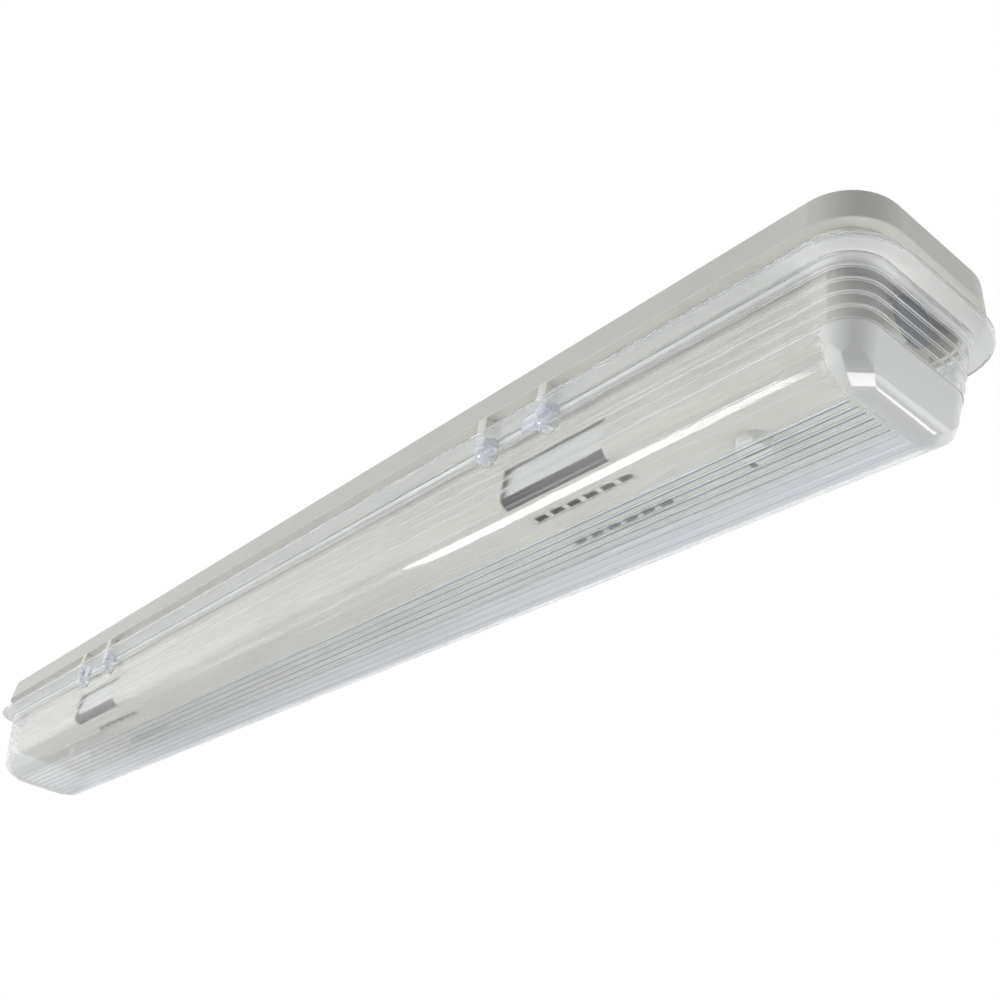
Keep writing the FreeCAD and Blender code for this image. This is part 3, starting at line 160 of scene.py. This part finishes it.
def mix_colours(tree, factor, first, second):
    """Mixes a colour socket towards a plain colour."""
    node = tree.nodes.new("ShaderNodeMix")
    node.data_type = "RGBA"
    tree.links.new(factor, node.inputs["Factor"])
    tree.links.new(first, node.inputs["A"])
    node.inputs["B"].default_value = (*second, 1.0)
    return node.outputs["Result"]


def bump(tree, shader, height, distance, edge=None):
    """Grain from a height; with an edge radius the sharp edges look rounded too."""
    node = add_node(tree, "ShaderNodeBump", Distance=distance)
    tree.links.new(height, node.inputs["Height"])
    if edge is not None:
        bevel = tree.nodes.new("ShaderNodeBevel")
        fill(tree, bevel.inputs["Radius"], edge)
        tree.links.new(bevel.outputs["Normal"], node.inputs["Normal"])
    tree.links.new(node.outputs["Normal"], shader.inputs["Normal"])


def uneven_gloss(tree, shader, place, rough):
    """Roughness that varies a little over the surface."""
    gloss = spread(tree, noise(tree, GLOSS_SCALE, 2.0, place), *rough)
    tree.links.new(gloss, shader.inputs["Roughness"])


def moulded(name, low, high, rough, grain, grain_scale=GRAIN_SCALE, edge=None):
    """Moulded plastic: two close tones, uneven gloss and a fine grain."""
    material, tree, shader = new_material(name)
    place = object_place(tree)
    colour = two_tones(tree, noise(tree, PATCH_SCALE, 3.0, place), low, high)
    tree.links.new(colour, shader.inputs["Base Color"])
    uneven_gloss(tree, shader, place, rough)
    bump(tree, shader, noise(tree, grain_scale, 2.0, place), grain, edge)
    return material


def housing_plastic():
    """Pale warm grey polycarbonate, with a painted highlight along the foot of its wall and painted
    light in the recess below.
    """
    material, tree, shader = new_material("housing_plastic")
    place = object_place(tree)
    height = coordinates(tree, place)[2]
    # Painted highlight: a bright line where the edge at the foot of the wall would catch the light
    foot = all_of(tree, soft_step(tree, height, WALL_FOOT, WALL_FOOT + 0.0001),
                  soft_step(tree, height, WALL_FOOT + 0.0009, WALL_FOOT + 0.0005))
    # The recess below it is painted a little paler, as painted light thrown up into it, down to where
    # the diffuser covers it
    recess = all_of(tree, soft_step(tree, height, WALL_FOOT, WALL_FOOT - 0.001),
                    soft_step(tree, height, BRIM_LOW, BRIM_LOW + 0.002))
    patches = noise(tree, PATCH_SCALE, 3.0, place)
    colour = two_tones(tree, patches, (0.605, 0.605, 0.57), (0.64, 0.64, 0.605))
    colour = mix_colours(tree, recess, colour, (0.79, 0.785, 0.73))
    colour = mix_colours(tree, foot, colour, (0.90, 0.90, 0.86))
    tree.links.new(colour, shader.inputs["Base Color"])
    uneven_gloss(tree, shader, place, (0.34, 0.46))
    bump(tree, shader, noise(tree, GRAIN_SCALE, 2.0, place), 0.00004, edge=0.0009)
    return material


def frosted_ends(tree, along, height):
    """The lower part of both ends is frosted."""
    at_end = soft_step(tree, along, FROST_START - 0.004, FROST_START + 0.010)
    low_down = soft_step(tree, height, FROST_TOP + 0.001, FROST_TOP - 0.001)
    return all_of(tree, at_end, low_down)


def latch_lugs(tree, outward, height):
    """The lugs hang outside the walls, below the brim."""
    outside = soft_step(tree, outward, LUG_FACE - 0.0005, LUG_FACE + 0.0005)
    below = soft_step(tree, height, BRIM_LOW, BRIM_LOW - 0.0005)
    return all_of(tree, outside, below)


def drawn_lines(tree, fine, along, brim):
    """The drawn lines run along the walls, so the ends and the brim stay plain."""
    coarse = noise(tree, 300.0, 1.0, stretched_place(tree, (0.006, 1.0, 1.0)))
    past_walls = soft_step(tree, along, FROST_START, FROST_START + 0.008)
    plain = calculate(tree, "MAXIMUM", brim, past_walls)
    return all_of(tree, coarse, fine, calculate(tree, "SUBTRACT", 1.0, plain))


def floor_ribs(tree, in_floor, along, across, outward):
    """A painted dark line stands where each rib of the floor bends the light away."""
    pitch = calculate(tree, "PINGPONG", calculate(tree, "DIVIDE", across, RIB_PITCH), 0.5)
    line = soft_step(tree, pitch, 0.08, 0.05)
    last_rib = FLOOR_RIBS * RIB_PITCH
    in_middle = soft_step(tree, outward, last_rib + 0.3 * RIB_PITCH, last_rib + 0.2 * RIB_PITCH)
    before_end = soft_step(tree, along, FROST_START, FROST_START - 0.001)
    fading = spread(tree, soft_step(tree, across, *RIBS_FADE), 1.0, 0.4)
    return all_of(tree, line, in_floor, in_middle, before_end, fading)


def wall_ribs(tree, height):
    """The ribs round the walls catch the light as thin pale lines."""
    depth = calculate(tree, "DIVIDE", calculate(tree, "SUBTRACT", BRIM_LOW, height), CONTOUR_PITCH)
    step = calculate(tree, "FRACT", calculate(tree, "ADD", depth, 0.5))
    on_rib = all_of(tree, soft_step(tree, step, 0.38, 0.42), soft_step(tree, step, 0.52, 0.51))
    return all_of(tree, on_rib, soft_step(tree, depth, CONTOUR_RIBS + 0.10, CONTOUR_RIBS + 0.05))


def under_brim(tree, height, brim):
    """Close under the brim many fine ribs scatter the light."""
    close = soft_step(tree, height, BRIM_LOW - 0.008, BRIM_LOW - 0.004)
    return all_of(tree, close, calculate(tree, "SUBTRACT", 1.0, brim))


def milky_corners(tree, along, outward):
    """Round the upright corners the wall is a little milky."""
    near_end = soft_step(tree, along, FROST_START - 0.012, FROST_START + 0.010)
    return all_of(tree, near_end, soft_step(tree, outward, *CORNER_MILK))


def clear_plastic():
    """Clear polycarbonate: drawn lines along the walls, ribs in the floor, frosted ends."""
    material, tree, shader = new_material("clear_plastic")
    place = object_place(tree)
    from_middle, across, height = coordinates(tree, place)
    along = calculate(tree, "ABSOLUTE", from_middle)
    outward = calculate(tree, "ABSOLUTE", across)
    fine = noise(tree, 900.0, 1.0, stretched_place(tree, (0.004, 1.0, 1.0)))

    brim = soft_step(tree, height, BRIM_LOW - 0.0012, BRIM_LOW - 0.0009)
    frost = frosted_ends(tree, along, height)
    lug = latch_lugs(tree, outward, height)
    corner = milky_corners(tree, along, outward)
    lines = drawn_lines(tree, fine, along, brim)
    in_floor = soft_step(tree, height, UNDERSIDE + 0.001, UNDERSIDE + 0.0005)
    rib = floor_ribs(tree, in_floor, along, across, outward)
    # Towards the far side the floor gets a painted whitish sheen that stands in for its reflection
    # there
    far_sheen = all_of(tree, in_floor, soft_step(tree, across, *FLOOR_SHEEN))

    patches = noise(tree, 9.0, 2.0, place)
    tint = two_tones(tree, patches, (0.93, 0.945, 0.95), (0.965, 0.975, 0.975))
    tint = mix_colours(tree, lug, tint, (0.88, 0.90, 0.96))
    # Painted sheen: whitish tint on the far side of the floor
    tint = mix_colours(tree, far_sheen, tint, (0.86, 0.90, 0.95))
    tint = mix_colours(tree, frost, tint, (0.83, 0.85, 0.84))
    # Painted shade: dark lines where the floor ribs bend the light away
    tint = mix_colours(tree, rib, tint, (0.10, 0.12, 0.30))
    tree.links.new(tint, shader.inputs["Base Color"])

    # Each veil keeps a share of the light from passing straight through
    clear = add_share(tree, 0.945, soft_step(tree, lines, 0.27, 0.42), -0.18)
    clear = add_share(tree, clear, wall_ribs(tree, height), -0.50)
    clear = add_share(tree, clear, under_brim(tree, height, brim), -0.34)
    for veil, share in ((brim, 0.10), (lug, 0.10), (corner, 0.12), (far_sheen, 0.50), (frost, 0.80)):
        clear = add_share(tree, clear, veil, -share)
    tree.links.new(calculate(tree, "MAXIMUM", clear, 0.06), shader.inputs["Transmission Weight"])

    rough = spread(tree, fine, 0.035, 0.09)
    rough = add_share(tree, rough, frost, 0.45)
    rough = add_share(tree, rough, corner, 0.10)
    tree.links.new(rough, shader.inputs["Roughness"])
    shader.inputs["IOR"].default_value = 1.3
    # The ends are frosted from inside, so a clear gloss stays over them, and their corners are soft
    tree.links.new(frost, shader.inputs["Coat Weight"])
    shader.inputs["Coat Roughness"].default_value = 0.06
    bump(tree, shader, lines, 0.00010, edge=calculate(tree, "MULTIPLY", frost, 0.003))
    return material


def opal_sheet():
    """Matt white sheet of the inner cover."""
    material = moulded("opal_sheet", (0.545, 0.54, 0.49), (0.585, 0.58, 0.53), rough=(0.5, 0.62),
                       grain=0.00002, edge=0.0004)
    material.node_tree.nodes["Principled BSDF"].inputs["Specular IOR Level"].default_value = 0.05
    return material


def white_enamel():
    """Gloss white enamel on the folded tray."""
    return moulded("white_enamel", (0.62, 0.625, 0.605), (0.67, 0.675, 0.655), rough=(0.18, 0.28),
                   grain=0.00003, grain_scale=300.0)


def slate_rubber():
    """Dark blue-grey rubber of the end buffer."""
    return moulded("slate_rubber", (0.022, 0.032, 0.055), (0.034, 0.047, 0.075), rough=(0.5, 0.65),
                   grain=0.00006)


def foam_seal():
    """Pale poured foam."""
    return moulded("foam_seal", (0.44, 0.44, 0.42), (0.52, 0.52, 0.50), rough=(0.75, 0.9),
                   grain=0.00025, grain_scale=700.0)


def dark_rubber():
    """Dull rubber of the plug and the small seals."""
    return moulded("dark_rubber", (0.06, 0.06, 0.062), (0.10, 0.10, 0.10), rough=(0.6, 0.75),
                   grain=0.00008, grain_scale=700.0)


def white_nylon():
    """Satin nylon of the studs and sleeves."""
    return moulded("white_nylon", (0.60, 0.60, 0.57), (0.66, 0.66, 0.63), rough=(0.35, 0.45),
                   grain=0.00003)


def grey_nylon():
    """Satin nylon of the gland."""
    return moulded("grey_nylon", (0.16, 0.165, 0.17), (0.20, 0.205, 0.21), rough=(0.4, 0.55),
                   grain=0.00005)


def solder_mask():
    """White lacquer on the boards."""
    return moulded("solder_mask", (0.74, 0.75, 0.74), (0.80, 0.81, 0.80), rough=(0.3, 0.4),
                   grain=0.00002)


def phosphor():
    """Yellow phosphor gel of the light chips."""
    return moulded("phosphor", (0.72, 0.50, 0.06), (0.85, 0.64, 0.12), rough=(0.25, 0.35),
                   grain=0.00002)


def white_connector():
    """Smooth white moulding of the connectors."""
    return moulded("white_connector", (0.72, 0.72, 0.69), (0.78, 0.78, 0.75), rough=(0.3, 0.4),
                   grain=0.00002)


def green_laminate():
    """Green circuit board laminate with its weave showing."""
    return moulded("green_laminate", (0.008, 0.085, 0.025), (0.015, 0.14, 0.045), rough=(0.3, 0.4),
                   grain=0.00004, grain_scale=250.0)


def yellow_tape():
    """Tape over the windings."""
    return moulded("yellow_tape", (0.55, 0.34, 0.02), (0.66, 0.43, 0.035), rough=(0.4, 0.5),
                   grain=0.00004)


def black_sleeve():
    """Shrunk sleeve of the capacitors."""
    return moulded("black_sleeve", (0.008, 0.008, 0.01), (0.016, 0.016, 0.02), rough=(0.25, 0.35),
                   grain=0.00002)


def insulation(name, low, high):
    """Smooth plastic on a lead, in one of its colours."""
    return moulded(name, low, high, rough=(0.35, 0.45), grain=0.00002)


def striped_insulation():
    """Green insulation with a yellow stripe."""
    material, tree, shader = new_material("striped_insulation")
    facing_up = coordinates(tree, add_node(tree, "ShaderNodeTexCoord").outputs["Normal"])[2]
    stripe = two_tones(tree, facing_up, (0.04, 0.22, 0.02), (0.75, 0.60, 0.02), start=0.30, end=0.34)
    tree.links.new(stripe, shader.inputs["Base Color"])
    uneven_gloss(tree, shader, object_place(tree), (0.35, 0.45))
    return material


def brushed(name, low, high, stretch):
    """Metal with fine scratches that run one way."""
    material, tree, shader = new_material(name)
    shader.inputs["Metallic"].default_value = 1.0
    scratches = noise(tree, 500.0, 3.0, stretched_place(tree, stretch))
    tree.links.new(two_tones(tree, scratches, low, high), shader.inputs["Base Color"])
    tree.links.new(spread(tree, scratches, 0.25, 0.45), shader.inputs["Roughness"])
    bump(tree, shader, scratches, 0.00002)
    return material


def zinc_plate():
    """Bright plating of the screws."""
    return brushed("zinc_plate", (0.50, 0.51, 0.52), (0.66, 0.67, 0.68), (1.0, 1.0, 0.1))


def tinned_copper():
    """Tinned copper of the earth lug."""
    return brushed("tinned_copper", (0.52, 0.51, 0.48), (0.64, 0.62, 0.58), (0.1, 1.0, 1.0))


def galvanised_sheet():
    """Zinc-coated sheet with its large soft crystals."""
    material, tree, shader = new_material("galvanised_sheet")
    shader.inputs["Metallic"].default_value = 1.0
    cells = add_node(tree, "ShaderNodeTexVoronoi", Scale=110.0)
    tree.links.new(object_place(tree), cells.inputs["Vector"])
    crystals = cells.outputs["Distance"]
    colour = two_tones(tree, crystals, (0.40, 0.41, 0.42), (0.58, 0.59, 0.60))
    tree.links.new(colour, shader.inputs["Base Color"])
    tree.links.new(spread(tree, crystals, 0.3, 0.48), shader.inputs["Roughness"])
    return material


def dress(material, *names):
    """Gives one material to some nodes of the frame."""
    for name in names:
        piece = NODES[name]
        piece.data.materials.clear()
        piece.data.materials.append(material)


def dress_outside():
    """Materials of what is seen from outside or through the diffuser."""
    dress(housing_plastic(), "base_housing")
    dress(clear_plastic(), "diffuser")
    dress(opal_sheet(), "inner_cover", "cover_end_right", "cover_end_left")
    dress(slate_rubber(), "end_buffer_pad")
    dress(white_nylon(), "turn_stud_right", "turn_stud_left", "stud_sleeves", "end_buffer_post")
    dress(grey_nylon(), "gland_body", "gland_cap", "gland_locknut")
    dress(foam_seal(), "gasket")
    dress(dark_rubber(), "gland_seal", "rear_entry_plug", "fixing_seals")


def dress_inside():
    """Materials of the tray, the boards, the driver and the wiring."""
    boards = [name for name in NODES if name.startswith("led_board_")]
    dress(white_enamel(), "gear_tray")
    dress(solder_mask(), *boards)
    dress(phosphor(), "led_chips")
    dress(white_connector(), "board_connectors", "terminal_block")
    dress(zinc_plate(), "board_screws", "driver_screws", "terminal_screws", "terminal_fixings",
          "earth_screw")
    dress(galvanised_sheet(), "driver_case", "driver_lid")
    dress(green_laminate(), "driver_circuit")
    dress(yellow_tape(), "driver_transformer")
    dress(black_sleeve(), "driver_capacitors")
    dress(tinned_copper(), "earth_lug")
    dress(insulation("brown_insulation", (0.06, 0.02, 0.008), (0.09, 0.03, 0.012)), "live_lead")
    dress(insulation("blue_insulation", (0.008, 0.04, 0.25), (0.012, 0.06, 0.33)), "neutral_lead")
    dress(insulation("white_insulation", (0.70, 0.70, 0.67), (0.76, 0.76, 0.73)),
          "led_lead_near", "led_lead_far")
    dress(striped_insulation(), "earth_lead")


def add_area_light(name, place, target, width, height, power):
    """A soft rectangular lamp that faces a point."""
    lamp = bpy.data.lights.new(name, "AREA")
    lamp.shape = "RECTANGLE"
    lamp.size = width
    lamp.size_y = height
    lamp.energy = power
    holder = bpy.data.objects.new(name, lamp)
    holder.location = place
    way = Vector(target) - Vector(place)
    holder.rotation_euler = way.to_track_quat("-Z", "Y").to_euler()
    # The clear diffuser casts no shadow, so a ray through it may not find the lamp once more
    holder.visible_transmission = False
    bpy.context.scene.collection.objects.link(holder)
    return holder


def add_lights():
    """Soft lamps on the near left, the far right and below, and two that only make gloss."""
    middle = (0.0, 0.0, UNDERSIDE / 2)
    right_end = (HALF_LENGTH, 0.0, UNDERSIDE / 2)
    right_corner = (HALF_LENGTH, -HALF_WIDTH, UNDERSIDE)
    strip = add_area_light("strip_light", (-1.00, -1.625, -0.76), middle,
                           width=1.04, height=0.55, power=36.0)
    strip.visible_diffuse = False
    corner = add_area_light("corner_light", (0.72, -0.06, -1.36), right_corner,
                            width=0.7, height=0.8, power=18.0)
    corner.visible_diffuse = False
    side = add_area_light("side_light", (-6.0, -6.0, -0.4), middle, width=4.0, height=2.7, power=380.0)
    side.visible_glossy = False
    add_area_light("far_light", (2.6, 2.7, -0.6), right_end, width=2.4, height=1.8, power=28.0)
    add_area_light("end_light", (1.31, 1.49, -1.53), right_end, width=0.9, height=0.25, power=6.0)
    add_area_light("under_light", (0.3, 0.1, -1.7), middle, width=1.6, height=1.0, power=1.2)


def add_world():
    """Plain light from all round; what is seen directly, mirrored or through glass is white."""
    world = bpy.data.worlds.new("studio")
    bpy.context.scene.world = world
    world.use_nodes = True
    tree = world.node_tree
    tree.nodes.clear()
    rays = tree.nodes.new("ShaderNodeLightPath").outputs
    seen = calculate(tree, "MAXIMUM", rays["Is Camera Ray"], rays["Is Transmission Ray"])
    seen = calculate(tree, "MAXIMUM", seen, rays["Is Glossy Ray"])
    # Light that has been scattered already is counted at the plain level
    direct = calculate(tree, "LESS_THAN", rays["Diffuse Depth"], 0.5)
    white = (1.0, 1.0, 1.0, 1.0)
    light = add_node(tree, "ShaderNodeBackground", Color=white, Strength=WORLD_LEVEL)
    backdrop = add_node(tree, "ShaderNodeBackground", Color=white, Strength=1.0)
    mix = tree.nodes.new("ShaderNodeMixShader")
    tree.links.new(all_of(tree, seen, direct), mix.inputs["Fac"])
    tree.links.new(light.outputs["Background"], mix.inputs[1])
    tree.links.new(backdrop.outputs["Background"], mix.inputs[2])
    output = tree.nodes.new("ShaderNodeOutputWorld")
    tree.links.new(mix.outputs["Shader"], output.inputs["Surface"])


def add_floor():
    """A pale floor well below the light."""
    mesh = bpy.data.meshes.new("floor")
    square = ((-1, -1), (1, -1), (1, 1), (-1, 1))
    corners = [(x * STUDIO_REACH, y * STUDIO_REACH, -STUDIO_DROP) for x, y in square]
    mesh.from_pydata(corners, [], [(0, 1, 2, 3)])
    floor = bpy.data.objects.new("floor", mesh)
    bpy.context.scene.collection.objects.link(floor)
    material, tree, shader = new_material("floor_paint")
    patches = noise(tree, 3.0, 3.0, object_place(tree))
    colour = two_tones(tree, patches, (0.80, 0.80, 0.80), (0.84, 0.84, 0.84))
    tree.links.new(colour, shader.inputs["Base Color"])
    shader.inputs["Roughness"].default_value = 0.9
    mesh.materials.append(material)


def add_camera():
    """Looks at the light from below its right end."""
    data = bpy.data.cameras.new("camera")
    data.sensor_width = SENSOR_WIDTH
    data.lens = CAMERA_LENS
    data.clip_start = 0.01
    holder = bpy.data.objects.new("camera", data)
    holder.location = CAMERA_PLACE
    holder.rotation_euler = [math.radians(angle) for angle in CAMERA_TURN]
    bpy.context.scene.collection.objects.link(holder)
    bpy.context.scene.camera = holder


dress_outside()
dress_inside()
# Lamps shine through the clear diffuser as if it cast no shadow
NODES["diffuser"].visible_shadow = False
add_camera()
add_world()
add_lights()
add_floor()
bpy.context.scene.view_settings.view_transform = "Standard"
